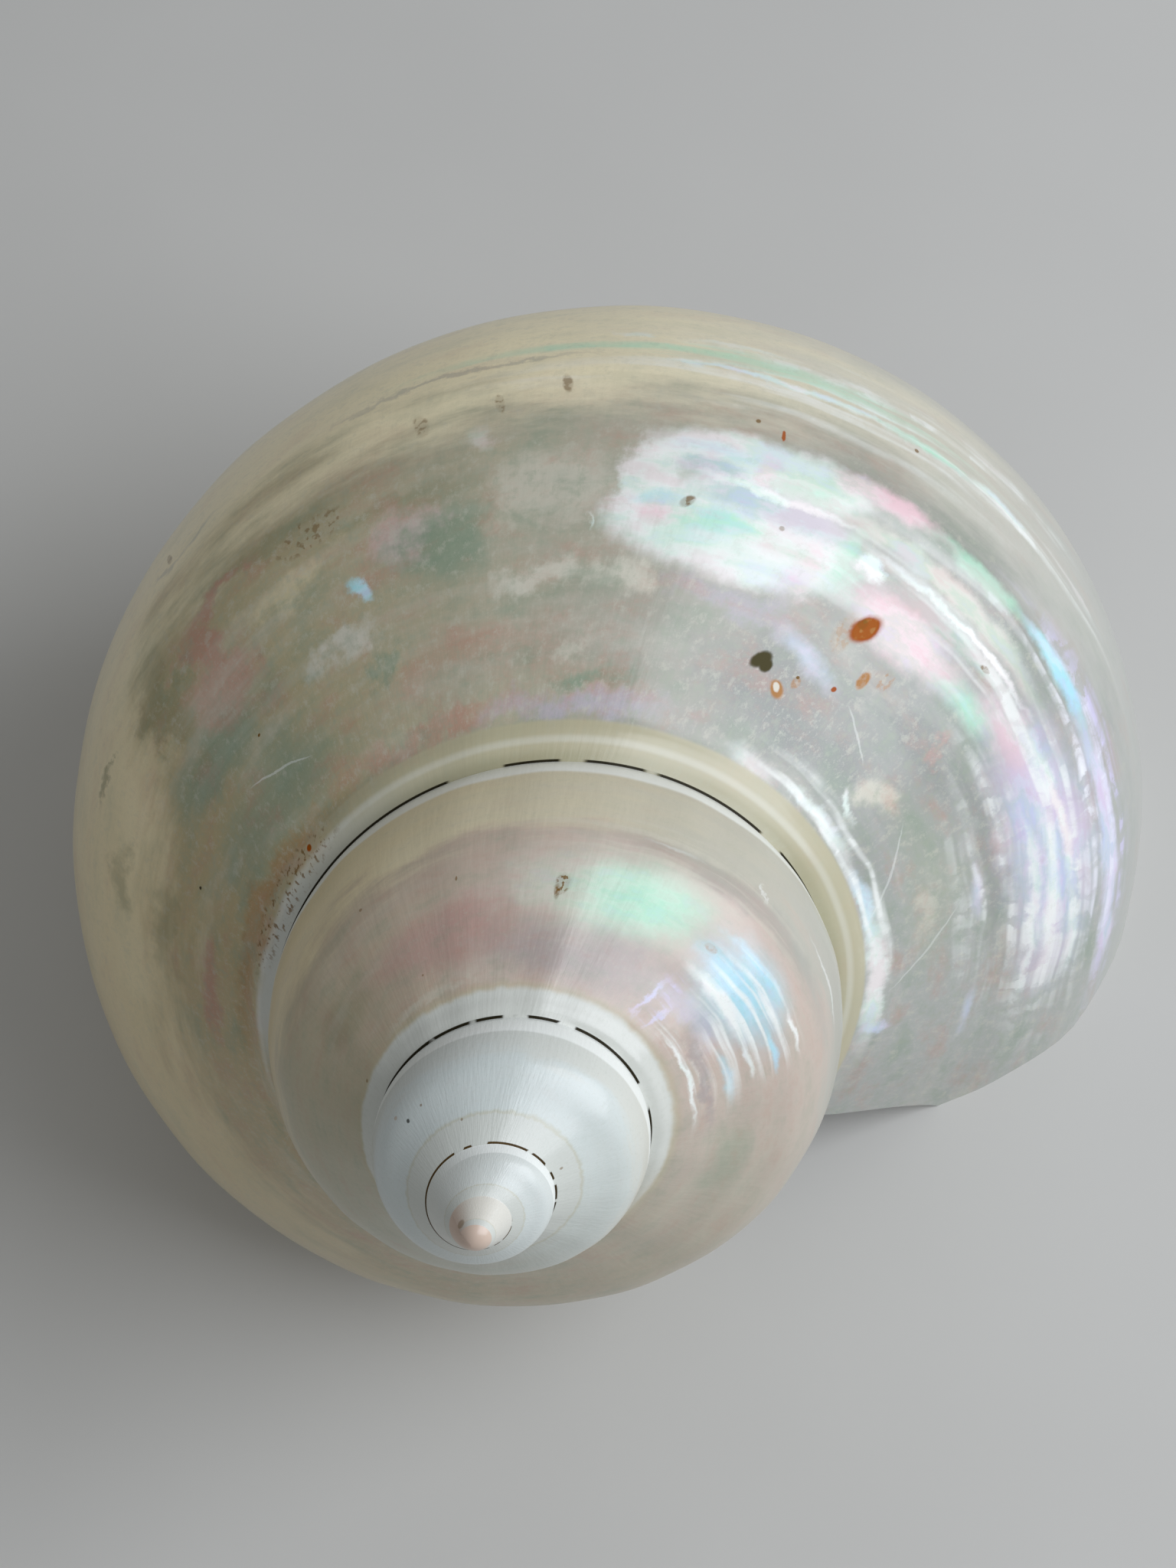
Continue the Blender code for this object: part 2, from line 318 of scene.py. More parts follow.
def outline_rows(turns, shares, meeting):
    """Outline of each row in seam radii.

    A share of 0 to 1 runs from this seam to the next one, and 1 to 2 round the base to the
    axis. The line is pulled so that it ends exactly on the next seam, and the pull fades out
    over the first quarter of the open turn.
    """
    closed = np.minimum(turns, meeting)
    target, last = next_seam(closed)
    upper = np.minimum(shares, 1.0)[None, :]
    lower = np.clip(shares - 1.0, 0.0, 1.0)[None, :]
    places = upper * last[:, None] + lower * (OUTLINE_SAMPLES - 1 - last[:, None])
    line = np.stack([np.interp(places, np.arange(OUTLINE_SAMPLES), OUTLINE[:, k])
                     for k in range(2)], axis=-1)
    fade = np.clip(1.0 - (turns - meeting) / LEAVING_TURN, 0.0, 1.0)**2
    pull = upper**2 * (1.0 - lower)**2 * fade[:, None]
    line = line + (target - OUTLINE[last])[:, None, :] * pull[..., None]
    # The first turns of the tip are worn to a plain cone
    straight = OUTLINE[0] + (target - OUTLINE[0])[:, None, :] * upper[..., None]
    worn = 1.0 - smooth_step(*WORN_BLEND, turns)
    line = line + (straight - line) * worn[:, None, None]
    # The seam lies a little higher than the formula on the left of the last turn
    below = np.exp(-((closed + 1.0 - SLIP_TURN) / SLIP_LENGTH)**2) * (turns < meeting)
    here = np.exp(-((turns - SLIP_TURN) / SLIP_LENGTH)**2)
    line = line + slip_shift(last)[:, None, :] * (below[:, None] * upper**3)[..., None]
    above_radius, _ = seam(turns - 1.0)
    above = slip_shift(next_seam(turns - 1.0)[1]) * (above_radius / seam(turns)[0])[:, None]
    near = np.clip(1.0 - shares / SLIP_SHARE, 0.0, 1.0)**2
    return line + above[:, None, :] * (here[:, None] * near[None, :])[..., None]


def next_seam(turns):
    """Place of the next seam in seam radii, and the number of the outline sample nearest to it."""
    radius, depth = seam(turns)
    next_radius, next_depth = seam(turns + 1.0)
    target = np.stack([next_radius / radius, (next_depth - depth) / radius], axis=-1)
    outer = OUTLINE[:int(OUTLINE_SAMPLES * OUTER_SHARE)]
    gap = np.hypot(outer[None, :, 0] - target[:, None, 0], outer[None, :, 1] - target[:, None, 1])
    return target, np.argmin(gap, axis=1)


def slip_shift(last):
    """How far the slip moves the lower end of each row's outline, in seam radii."""
    return OUTLINE[(last * (1.0 - SLIP)).astype(int)] - OUTLINE[last]


def relief(turns, shares):
    """Height of the low relief in metres over rows of turns and columns of shares.

    It is the sum of rounded spiral ridges, each a bell across the turn, of slow swells along
    it, and of the rounded band below the seam, and it is zero on both seams.
    """
    sizes = bpy.context.scene.shell_sizes
    t = turns[:, None]
    s = shares[None, :]
    total = np.zeros((len(turns), len(shares)))
    for centre, width, height, start, end in SPIRAL_RIDGES:
        drift, uneven = (amount * np.sin(2.0 * np.pi * (t * waves + centre * phase))
                         for amount, waves, phase in (RIDGE_DRIFT, RIDGE_UNEVENNESS))
        bell = np.exp(-((s - centre - drift) / width)**2)
        run = smooth_step(start - 0.07, start + 0.05, t) * (1.0 - smooth_step(end - 0.02, end + 0.05, t))
        level = 1.0 - RIDGE_UNEVENNESS[0] + uneven
        total = total + bell * run * level * height * MM * sizes.ridge_height
    for waves, slant, phase, height in SWELLS:
        swell = height * sizes.swell_height * np.sin(2.0 * np.pi * (t * waves + s * slant + phase))
        total = total + swell * smooth_step(*SWELL_BLEND, t)
    for centre, width, height in SEAM_BANDS:
        bell = np.exp(-((s - centre) / width)**2)
        total = total + bell * height * sizes.band_height * smooth_step(*BAND_BLEND, t)
    return total * smooth_step(0.0, 0.02, s) * smooth_step(0.0, 0.08, np.abs(1.0 - s))


def columns():
    """Shares of the columns: closer together near the upper seam, even round the base."""
    upper = np.linspace(0.0, 1.0, UPPER_COLUMNS + 1)**CROWDING
    lower = 1.0 + np.linspace(0.0, 1.0, BASE_COLUMNS + 1)[1:]
    return np.concatenate([upper, lower])


def surface_normals(points):
    """Unit normals of a grid of points, outwards, from its differences along rows and columns."""
    across = np.gradient(points, axis=1)
    along = np.gradient(points, axis=0)
    normal = np.cross(along, across)
    return normal / np.maximum(np.linalg.norm(normal, axis=-1, keepdims=True), 1e-12)


def outer_skin(materials):
    """Closed spiral skin, its mouth still shut by a fan.

    Each row of the grid is one whorl outline, placed at its turn. The last column of a closed
    turn is the first column one turn later, so the sheet joins itself along the seam.
    """
    steps = STEPS_PER_TURN
    count = int(round((LIP_TURN - FIRST_TURN) * steps))
    turns = LIP_TURN + np.arange(-count, 1) / steps
    rows = len(turns)
    meeting = rows - 1 - steps
    shares = columns()
    line = outline_rows(turns, shares, turns[meeting])
    radius, depth = seam(turns)
    near_lip = np.clip((turns - LIP_TURN + LIP_LAG_START) / LIP_LAG_START, 0.0, 1.0)**2
    lag = LIP_LAG * near_lip[:, None] * smooth_step(0.0, 0.3, shares)[None, :]
    points = place(turns[:, None] - lag, radius[:, None] * line[..., 0],
                   depth[:, None] + radius[:, None] * line[..., 1])
    points = points + surface_normals(points) * relief(turns, shares)[..., None]
    wide = len(shares)
    index = np.arange(rows * wide).reshape(rows, wide)
    index[:meeting + 1, UPPER_COLUMNS] = index[steps:steps + meeting + 1, 0]
    local = np.stack(np.broadcast_arrays(turns[:, None] * ALONG_PER_TURN,
                                         shares[None, :] * DOWN_PER_TURN), axis=-1)
    quads = []
    maps = []
    for low, high, last in ((0, meeting, UPPER_COLUMNS), (meeting, rows - 1, wide - 1)):
        i = np.arange(low, high)[:, None]
        j = np.arange(last)[None, :]
        corners = ((i, j), (i + 1, j), (i + 1, j + 1), (i, j + 1))
        quads.append(np.stack([index[a, b] for a, b in corners], axis=-1).reshape(-1, 4))
        maps.append(np.stack([local[a, b] for a, b in corners], axis=2).reshape(-1, 4, 2))
    quads = np.concatenate(quads)
    maps = np.concatenate(maps)
    points = points.reshape(-1, 3)
    tip = len(points)
    centre = tip + 1
    lip_radius, lip_depth = seam(np.array([LIP_TURN]))
    ends = [place(np.array([0.0]), np.array([0.0]), np.array([0.0])),
            place(np.array([LIP_TURN - LIP_LAG]), lip_radius * HOLLOW_CENTRE[0],
                  lip_depth + lip_radius * HOLLOW_CENTRE[1])]
    points = np.concatenate([points] + ends)
    around = np.concatenate([index[:steps + 1, 0], index[0, 1:UPPER_COLUMNS][::-1]])
    border = np.concatenate([index[rows - 1], index[meeting:rows - 1, -1][::-1],
                             index[meeting, UPPER_COLUMNS + 1:-1][::-1]])
    fans = np.concatenate([
        np.stack([np.full(len(around), tip), np.roll(around, -1), around], axis=-1),
        np.stack([np.full(len(border), centre), border, np.roll(border, -1)], axis=-1)])
    fan_map = np.zeros((len(fans), 3, 2))
    fan_map[:len(around)] = (FIRST_TURN * ALONG_PER_TURN, 0.5 * DOWN_PER_TURN)
    fan_map[len(around):] = (LIP_TURN * ALONG_PER_TURN, 1.5 * DOWN_PER_TURN)
    centres = np.concatenate([maps.mean(axis=1), fan_map.mean(axis=1)])
    zones = np.searchsorted([end for _, end in STRETCHES], centres[:, 0] / ALONG_PER_TURN)
    return make_mesh("pearl_shell", points, [quads, fans], materials, [maps, fan_map], zones)


def make_mesh(name, points, face_groups, materials, map_groups=None, zones=None):
    """Mesh object from arrays of corners, unused points left out, with its painted map, if it has one."""
    used, renumbered = np.unique(np.concatenate([g.reshape(-1) for g in face_groups]), return_inverse=True)
    points = points[used]
    sizes = np.concatenate([np.full(len(g), g.shape[1]) for g in face_groups])
    mesh = bpy.data.meshes.new(name)
    mesh.vertices.add(len(points))
    mesh.vertices.foreach_set("co", points.astype(np.float32).reshape(-1))
    mesh.loops.add(len(renumbered))
    mesh.loops.foreach_set("vertex_index", renumbered.astype(np.int32))
    mesh.polygons.add(len(sizes))
    starts = np.concatenate([[0], np.cumsum(sizes)[:-1]])
    mesh.polygons.foreach_set("loop_start", starts.astype(np.int32))
    mesh.polygons.foreach_set("loop_total", sizes.astype(np.int32))
    layer = mesh.uv_layers.new(name="coil")
    if map_groups is not None:
        flat = np.concatenate([g.reshape(-1) for g in map_groups])
        layer.uv.foreach_set("vector", flat.astype(np.float32))
    for material in materials:
        mesh.materials.append(material)
    if zones is not None:
        mesh.polygons.foreach_set("material_index", zones.astype(np.int32))
    mesh.update(calc_edges=True)
    mesh.validate()
    work = bmesh.new()
    work.from_mesh(mesh)
    bmesh.ops.recalc_face_normals(work, faces=work.faces[:])
    work.to_mesh(mesh)
    work.free()
    item = bpy.data.objects.new(name, mesh)
    bpy.context.scene.collection.objects.link(item)
    return item


def hollow_reach(turn):
    """Directions and reach of the hollow about its centre, in seam radii.

    The reach is the distance to the outer wall, the base of the turn before or the
    columella, less the wall, rounded off over neighbouring directions.
    """
    radius, depth = (float(v[0]) for v in seam(np.array([turn])))
    before_radius, before_depth = (float(v[0]) for v in seam(np.array([turn - 1.0])))
    outline = OUTLINE[::HOLLOW_SKIP]
    inner = np.stack([outline[:, 0] * before_radius,
                      before_depth - depth + outline[:, 1] * before_radius], axis=-1) / radius
    start = int(np.argmin(np.linalg.norm(inner - outline[0], axis=1)))
    column_depths = np.linspace(outline[-1, 1], inner[-1, 1], COLUMN_POINTS)
    column = np.stack([np.zeros(COLUMN_POINTS), column_depths], axis=-1)
    border = np.concatenate([outline, column, inner[start:][::-1]])
    border[:, 0] = np.maximum(border[:, 0], COLUMELLA)
    away = border - np.array(HOLLOW_CENTRE)
    angles = np.arctan2(away[:, 1], away[:, 0])
    lengths = np.linalg.norm(away, axis=1)
    order = np.argsort(angles)
    fine = HOLLOW_FINENESS * HOLLOW_SIDES
    directions = 2.0 * np.pi * np.arange(fine) / fine - np.pi
    reach = np.interp(directions, angles[order], lengths[order], period=2.0 * np.pi)
    reach = reach - bpy.context.scene.shell_sizes.wall / radius
    for _ in range(HOLLOW_AVERAGES):
        reach = 0.25 * np.roll(reach, 1) + 0.5 * reach + 0.25 * np.roll(reach, -1)
    return directions[::HOLLOW_FINENESS], reach[::HOLLOW_FINENESS]


def hollow_tube(material):
    """Closed tube of the living chamber: rings about a centre, shrunk to a round inner end."""
    count = int(round((HOLLOW_LAST_TURN - HOLLOW_FIRST_TURN) * HOLLOW_STEPS_PER_TURN))
    turns = HOLLOW_FIRST_TURN + np.arange(count + 1) / HOLLOW_STEPS_PER_TURN
    radius, depth = seam(turns)
    near_end = np.minimum(1.0, (turns - HOLLOW_FIRST_TURN + HOLLOW_END_START) / HOLLOW_END_LENGTH)
    rounding = np.sqrt(1.0 - (1.0 - near_end)**2)
    rings = [hollow_reach(turn) for turn in turns]
    directions = np.array([ring[0] for ring in rings])
    reach = np.array([ring[1] for ring in rings]) * rounding[:, None]
    across = HOLLOW_CENTRE[0] + reach * np.cos(directions)
    along = HOLLOW_CENTRE[1] + reach * np.sin(directions)
    points = place(np.repeat(turns[:, None], HOLLOW_SIDES, axis=1), radius[:, None] * across,
                   depth[:, None] + radius[:, None] * along)
    ends = place(turns[[0, -1]], radius[[0, -1]] * HOLLOW_CENTRE[0],
                 depth[[0, -1]] + radius[[0, -1]] * HOLLOW_CENTRE[1])
    index = np.arange((count + 1) * HOLLOW_SIDES).reshape(count + 1, HOLLOW_SIDES)
    beside = np.roll(index, -1, axis=1)
    quads = np.stack([index[:-1], index[1:], beside[1:], beside[:-1]], axis=-1).reshape(-1, 4)
    total = index.size
    fans = np.concatenate([
        np.stack([np.full(HOLLOW_SIDES, total), index[0], beside[0]], axis=-1),
        np.stack([np.full(HOLLOW_SIDES, total + 1), beside[-1], index[-1]], axis=-1)])
    return make_mesh("hollow", np.concatenate([points.reshape(-1, 3), ends]), [quads, fans], [material])


def floor_block(material):
    """Block below the floor plane, which cuts the lip flat."""
    w = BLOCK_HALF
    around = ((-w, -w), (w, -w), (w, w), (-w, w))
    corners = np.array([(*corner, z) for z in (-w, 0.0) for corner in around])
    faces = np.array([(0, 3, 2, 1), (4, 5, 6, 7), (0, 1, 5, 4), (1, 2, 6, 5), (2, 3, 7, 6), (3, 0, 4, 7)])
    return make_mesh("floor_block", corners, [faces], [material])


def take_away(item, cutter):
    """Exact difference of two solids, applied to the mesh; the cutter is removed afterwards."""
    step = item.modifiers.new("cut", "BOOLEAN")
    step.operation = "DIFFERENCE"
    step.solver = "EXACT"
    step.object = cutter
    step.material_mode = "TRANSFER"
    bpy.context.view_layer.update()
    evaluated = item.evaluated_get(bpy.context.evaluated_depsgraph_get())
    mesh = bpy.data.meshes.new_from_object(evaluated)
    item.modifiers.clear()
    item.data = mesh
    bpy.data.objects.remove(cutter, do_unlink=True)


def panel_tones():
    """Tones of the panel, by name, with full opacity."""
    tone = bpy.context.scene.shell_colours
    return {key: (*getattr(tone, key), 1.0) for key in ShellColours.__annotations__}


def new_material(name):
    """New material with its node tree and its shader."""
    material = bpy.data.materials.new(name)
    material.use_nodes = True
    return material, material.node_tree, material.node_tree.nodes["Principled BSDF"]


def join(tree, node, values):
    """Fills sockets of a node: a link is drawn, and what is the same all over is set on the socket."""
    for key, value in values.items():
        if isinstance(value, bpy.types.NodeSocket):
            tree.links.new(value, node.inputs[key])
        elif value is not None:
            node.inputs[key].default_value = value


def add(tree, kind, *values, out=0, **settings):
    """Adds a node and gives back one of its outputs.

    The settings are its properties. The values, links or plain ones, fill the sockets that are
    in use, in their order, and None leaves one as it is.
    """
    node = tree.nodes.new("ShaderNode" + kind)
    for name, value in settings.items():
        setattr(node, name, value)
    in_use = [index for index, socket in enumerate(node.inputs) if socket.enabled]
    join(tree, node, dict(zip(in_use, values)))
    return node.outputs[out]


def product(tree, *factors):
    """Product of factors: each is a link, a number or a smooth step (value, low, high, start, end)."""
    total = None
    for factor in factors:
        if isinstance(factor, tuple):
            factor = add(tree, "MapRange", *factor, interpolation_type="SMOOTHSTEP")
        total = factor if total is None else add(tree, "Math", total, factor, operation="MULTIPLY")
    return total


def cover(tree, below, colour, *factors):
    """Colour laid over another one, as strongly as the product of the factors says."""
    return add(tree, "Mix", product(tree, *factors), below, colour, out=2, data_type="RGBA")


def grain(tree, where, along, down, detail, roughness=0.5, shift=(0.0, 0.0, 0.0), turned=0.0):
    """Noise with its own number of spots per map millimetre along the coil and down the turn."""
    placed = add(tree, "Mapping", where, shift, (0.0, 0.0, turned), (along, down, 1.0))
    return add(tree, "TexNoise", placed, 1.0, detail, roughness)


def oval(tree, where, centre, half, tilt, soft, strength):
    """Soft oval: the distance from its centre in half sizes, faded over the outer part."""
    turned = math.radians(tilt)
    length_axis = Vector((math.cos(turned), math.sin(turned), 0.0)) / half[0]
    height_axis = Vector((-math.sin(turned), math.cos(turned), 0.0)) / half[1]
    middle = Vector((*centre, 0.0))
    if tilt:
        shares = [add(tree, "VectorMath", where, axis, out="Value", operation="DOT_PRODUCT")
                  for axis in (length_axis, height_axis)]
        scaled = add(tree, "CombineXYZ", *shares)
    else:
        scaled = add(tree, "VectorMath", where, length_axis + height_axis, operation="MULTIPLY")
    away = add(tree, "VectorMath", scaled, (middle.dot(length_axis), middle.dot(height_axis), 0.0),
               out="Value", operation="DISTANCE")
    return product(tree, (away, 1.0 - soft, 1.0, strength, 0.0))


# Ground colours along the coil, from the spire to the lip: (turn, colour)
UPPER_GROUND = (
    (-4.4, "ivory"), (-3.05, "porcelain"), (-1.86, "porcelain"), (-1.46, "olive"), (-1.24, "clay"),
    (-1.02, "clay"), (-0.84, "stone"), (-0.55, "straw"), (-0.35, "olive"), (-0.22, "stone"),
    (-0.1, "slate"), (-0.01, "ash"), (0.13, "ash"),
)
LOWER_GROUND = (
    (-4.4, "ivory"), (-3.05, "porcelain"), (-2.2, "chalk"), (-1.6, "pearl"), (-1.42, "sand"),
    (-1.28, "butter"), (-1.06, "ash"), (-0.8, "stone"), (-0.55, "sand"), (-0.42, "butter"),
    (-0.31, "custard"), (-0.22, "custard"), (-0.14, "pearl"), (-0.03, "ash"), (0.13, "ash"),
)

# Visible stretches of the last turn, the turn before and the first turns: (start, turns per percent)
VISIBLE = ((-0.5, 0.0063), (-1.48, 0.0064), (-2.95, 0.0111))

# Patches: (colour, percent along the visible stretch, percent of the way down, half length, half
# height in map mm, strength, tilt in degrees, and one more share, named for each kind). Tilt and the
# last share are left out where usual.

# Broad clouds of the ground; the fold ones are painted shade beside a ridge
LAST_CLOUDS = (
    ("teal", 21.4, 15, 11.5, 4.4, 0.6), ("teal", 19.8, 28.3, 9.5, 2.6, 0.75),
    ("moss", 6.9, 27.6, 7, 1.4, 0.35), ("moss", 8.1, 39.9, 4.2, 1.2, 0.4),
    ("moss", 12.2, 47.6, 1.5, 0.6, 0.6), ("moss", 18.8, 40, 2.8, 5.4, 0.5), ("moss", 28, 47.5, 8, 1, 0.42),
    ("moss", 35.5, 41.4, 7.5, 1, 0.38), ("teal", 37.5, 33.7, 6.4, 3.2, 0.75),
    ("blush", 35, 36.8, 3.2, 2, 0.38), ("mauve", 22, 34.2, 4, 3, 0.75), ("mauve", 22.4, 41.8, 3, 2.6, 0.75),
    ("mauve", 24.2, 46.4, 3.2, 0.7, 0.7), ("butter", 28.8, 40.4, 4.6, 1.3, 0.45),
    ("butter", 14, 38.6, 6, 2, 0.55), ("butter", 3.5, 36, 6.5, 2.6, 0.55),
    ("mauve", 3.8, 16.7, 7, 1.2, 0.65), ("tan", 13, 7.4, 22, 1.5, 0.95), ("mauve", 35, 8, 12, 1.1, 0.6),
    ("lilac", 47, 8.2, 12, 1.2, 0.7), ("teal", 32.5, 20.6, 2, 2.4, 0.6), ("teal", 47.5, 12.4, 5, 1, 0.8),
    ("mauve", 40, 17, 12, 2.4, 0.3), ("slate", 60, 17.5, 9, 4.5, 0.75), ("slate", 63, 14.2, 11, 1.9, 0.75),
    ("slate", 67.8, 25.2, 9, 1.3, 0.75), ("lilac", 54.4, 26, 6.5, 1.2, 0.55),
    ("slate", 78, 29, 15, 1, 0.55), ("rose", 70, 26.6, 1.6, 0.8, 0.6, -20), ("sage", 78, 18, 12, 3, 0.4),
    ("butter", 40, 63.2, 10, 0.5, 0.3), ("fold", 38.8, 63.3, 10, 0.45, 0.45),
    ("fold", 23.1, 63.7, 3.2, 0.5, 0.45), ("pearl", 30.6, 26.7, 3.8, 1.2, 1),
    ("pearl", 43.1, 26.6, 4.8, 1.1, 0.95), ("pearl", 47.8, 27.3, 3.8, 1.3, 1),
    ("pearl", 45.6, 16.3, 3, 0.7, 0.6), ("pearl", 70.9, 16.1, 4.3, 1.5, 0.85),
    ("pearl", 79.4, 16.7, 3, 0.8, 0.5), ("pearl", 43.8, 38.6, 5.2, 3.2, 0.6),
)
BEFORE_CLOUDS = (
    ("rose", 33, 30, 20, 6, 0.7), ("rose", 38, 35.5, 13, 4.5, 0.55), ("dusk", 50, 22, 24, 6, 0.8),
    ("dusk", 74.4, 18.6, 13, 1.4, 0.85), ("lilac", 66.3, 23.6, 10.4, 2.4, 0.8),
    ("pearl", 43.1, 41, 6.2, 4.4, 0.75), ("slate", 61.3, 60, 24.5, 2.8, 0.35),
    ("sage", 87.5, 27.1, 10.4, 3.8, 0.6), ("moss", 14.4, 32.9, 10.4, 4.1, 0.3),
    ("pearl", 28, 13.6, 14, 1, 0.45),
)
# Painted highlights: bright patches of painted window reflection with pastel mother-of-pearl colours, pale
# pearl halos, grey haze inside the lobes and painted shade (fold) beside a ridge; the last share is the
# softness of the edge, usually 0.6
LAST_PAINTED_HIGHLIGHTS = (
    ("white", 53.1, 35.4, 9.9, 3.4, 0.9, 0, 0.25), ("white", 53.1, 45.3, 9, 2.1, 0.88, 0, 0.3),
    ("white", 47.8, 40.5, 2, 3.4, 0.8, 0, 0.4), ("mint", 51.6, 34.2, 4.6, 2, 0.85, 0, 0.8),
    ("blush", 49.1, 36, 1.8, 1.1, 0.8, 0, 0.7), ("blush", 57.2, 33.6, 1.9, 3, 1, 0, 0.7),
    ("sky", 48.8, 37.6, 2.4, 0.6, 0.45), ("sky", 50.9, 45.9, 4.2, 0.8, 0.45, 0, 0.7),
    ("blush", 53.8, 45, 1.3, 1.3, 0.85, 0, 0.7), ("mint", 55.8, 44.2, 2.7, 1.7, 0.8, 0, 0.7),
    ("haze", 54.4, 39.9, 7.6, 1.3, 1, 0, 0.5), ("haze", 50.8, 42.7, 3.8, 0.9, 1, 0, 0.5),
    ("white", 54.4, 41.7, 8, 0.35, 1), ("mint", 53, 36, 4, 0.6, 0.9),
    ("pearl", 64, 42.9, 13, 0.9, 0.8, 0, 0.5), ("pearl", 56, 45.6, 4.2, 0.8, 0.6, 0, 0.8),
    ("pearl", 56, 35.2, 3.6, 0.8, 0.55, 0, 0.8), ("blush", 64, 33.9, 7.4, 2.1, 0.92, 0, 0.45),
    ("mint", 69.4, 33.4, 3.4, 1.3, 0.8, 0, 0.7), ("mint", 59.2, 37, 1.8, 2.9, 0.75, 0, 0.7),
    ("white", 60.5, 38.1, 1.3, 0.9, 1, 0, 0.5), ("fold", 65.8, 38.7, 7.8, 0.6, 0.85, 1, 0.5),
    ("white", 66.3, 40.5, 9.4, 0.33, 0.95, 1), ("violet", 79, 38, 14, 4.2, 0.8, 1, 0.5),
    ("blush", 72, 36.5, 5, 2, 0.7, 1, 0.7), ("white", 82, 37.5, 9, 0.8, 0.8, 1),
    ("white", 82, 34.5, 10, 0.45, 0.7), ("white", 77.2, 40.1, 8.2, 0.55, 0.95, 2),
    ("white", 84.4, 41.8, 4.6, 0.5, 0.55, 3), ("blush", 59, 47.8, 5.4, 1, 0.9, 0, 0.5),
    ("mint", 65, 47.7, 5.4, 0.95, 0.7, 0, 0.5), ("sky", 71, 48.5, 5, 0.95, 1, 2, 0.5),
    ("violet", 79.4, 49, 10.5, 1.2, 0.85, 2, 0.45), ("violet", 85.8, 50.9, 2.3, 1.2, 0.7, 0, 0.5),
    ("white", 68.8, 7.7, 7.5, 0.6, 0.75), ("sky", 77.5, 7.3, 6, 0.6, 0.85),
    ("white", 85.6, 8.5, 7, 0.55, 0.65), ("violet", 89, 9.3, 1.2, 1.2, 0.85),
    ("white", 84, 7.8, 12, 1, 0.9), ("white", 61.6, 6.8, 5, 0.9, 0.5, 0, 0.7),
    ("violet", 60, 23.1, 5, 1, 0.65, -12, 0.8), ("violet", 80, 25.1, 3.2, 0.7, 0.65, 0, 0.7),
    ("violet", 88.8, 25.1, 3.2, 0.6, 0.55, 0, 0.7), ("white", 69.3, 11.8, 2.4, 0.45, 0.75, -20),
    ("sky", 32.5, 31.8, 1.7, 0.6, 1, -31, 0.5), ("pearl", 39.7, 47.3, 1.4, 0.9, 0.7, -40),
    ("white", 45.9, 33.4, 0.35, 0.9, 0.6, 25), ("white", 53.4, 61.9, 11.5, 0.45, 1),
    ("white", 48.5, 61.7, 1.8, 0.6, 0.8, -15), ("mint", 60, 61.7, 4.2, 0.5, 0.95),
    ("white", 64.5, 62.5, 3.6, 0.7, 0.9), ("white", 70, 63.9, 3.8, 0.5, 0.35, 0, 0.7),
    ("white", 46.1, 69.6, 1.3, 0.4, 0.5, -15), ("white", 51, 68.9, 4.6, 0.35, 0.4),
    ("white", 56.3, 68.5, 2.6, 0.4, 0.5), ("white", 63.3, 71, 3, 0.8, 0.35, 0, 0.7),
)
# Painted window reflection on the turn before the last: a mint and blue patch with white lines
BEFORE_PAINTED_HIGHLIGHTS = (
    ("pearl", 47, 43, 18, 8, 0.8, 8, 0.7), ("mint", 53, 42, 14, 6.6, 0.85, 8, 0.65),
    ("mint", 54.5, 41, 8, 4, 0.35, 8, 0.8), ("sky", 67.5, 38.5, 12, 7, 0.9, 0, 0.65),
    ("white", 66.6, 32.6, 10.6, 1.25, 0.97), ("sky", 65.6, 39, 8.2, 2, 0.85),
    ("white", 75, 32.4, 3.4, 0.5, 0.7), ("sky", 74.7, 39.7, 4.4, 0.6, 0.85), ("white", 70, 43, 4, 0.5, 0.5),
    ("sky", 66.3, 46.7, 7.2, 1, 0.85), ("white", 74, 47.8, 3.6, 0.5, 0.85),
    ("white", 73.1, 13.7, 12.9, 0.35, 0.85), ("sky", 75.9, 25.7, 6.2, 1, 0.65, 0, 0.7),
    ("violet", 60.6, 18.6, 1, 4.2, 0.75, -8), ("violet", 63.2, 15.6, 0.7, 2.8, 0.65, -6),
    ("white", 53.8, 61.4, 4.3, 0.4, 0.25, 0, 0.7), ("white", 73.6, 69.6, 8, 0.35, 0.5, -8),
    ("white", 62.6, 66, 0.35, 1.6, 0.45),
)
# Painted highlights: fine bright lines where the spiral ridges catch the window's reflection; the last share
# is how far ribs cut them
LAST_HIGHLIGHT_STREAKS = (
    ("white", 79, 37.5, 24, 7.5, 0.75, 0, 0.85), ("violet", 78, 49.5, 22, 3.6, 0.9, 1, 0.9),
    ("white", 76, 47.5, 20, 2.4, 0.85, 1, 0.9), ("white", 66, 41, 20, 4, 0.45, 0, 0.1),
    ("white", 74, 8.2, 26, 2.6, 0.95, 0, 0.4), ("white", 82, 24.5, 16, 3, 0.4, 0, 0.8),
    ("white", 55, 34, 12, 3, 0.55, 0, 0.15), ("white", 60, 62.3, 24, 1.8, 0.9, 0, 0.35),
    ("white", 53, 58.5, 24, 2.6, 0.55, 0, 0.25), ("mint", 50, 65.5, 26, 1.6, 0.6, 0, 0.25),
    ("white", 58, 69.5, 22, 2.4, 0.65, 0, 0.7), ("pearl", 30, 30, 34, 12, 0.16, 0, 0.3),
)
# Painted highlight lines of the turn before the last
BEFORE_HIGHLIGHT_STREAKS = (
    ("white", 70, 38, 14, 9, 0.8, 0, 0.1), ("white", 72, 14.2, 18, 1.6, 0.7, 0, 0.1),
    ("white", 74, 25, 12, 4, 0.45, 0, 0.1), ("pearl", 55, 60, 30, 6, 0.45, 0, 0.2),
    ("violet", 62, 20, 4.5, 7, 0.55, -8, 0.8),
)
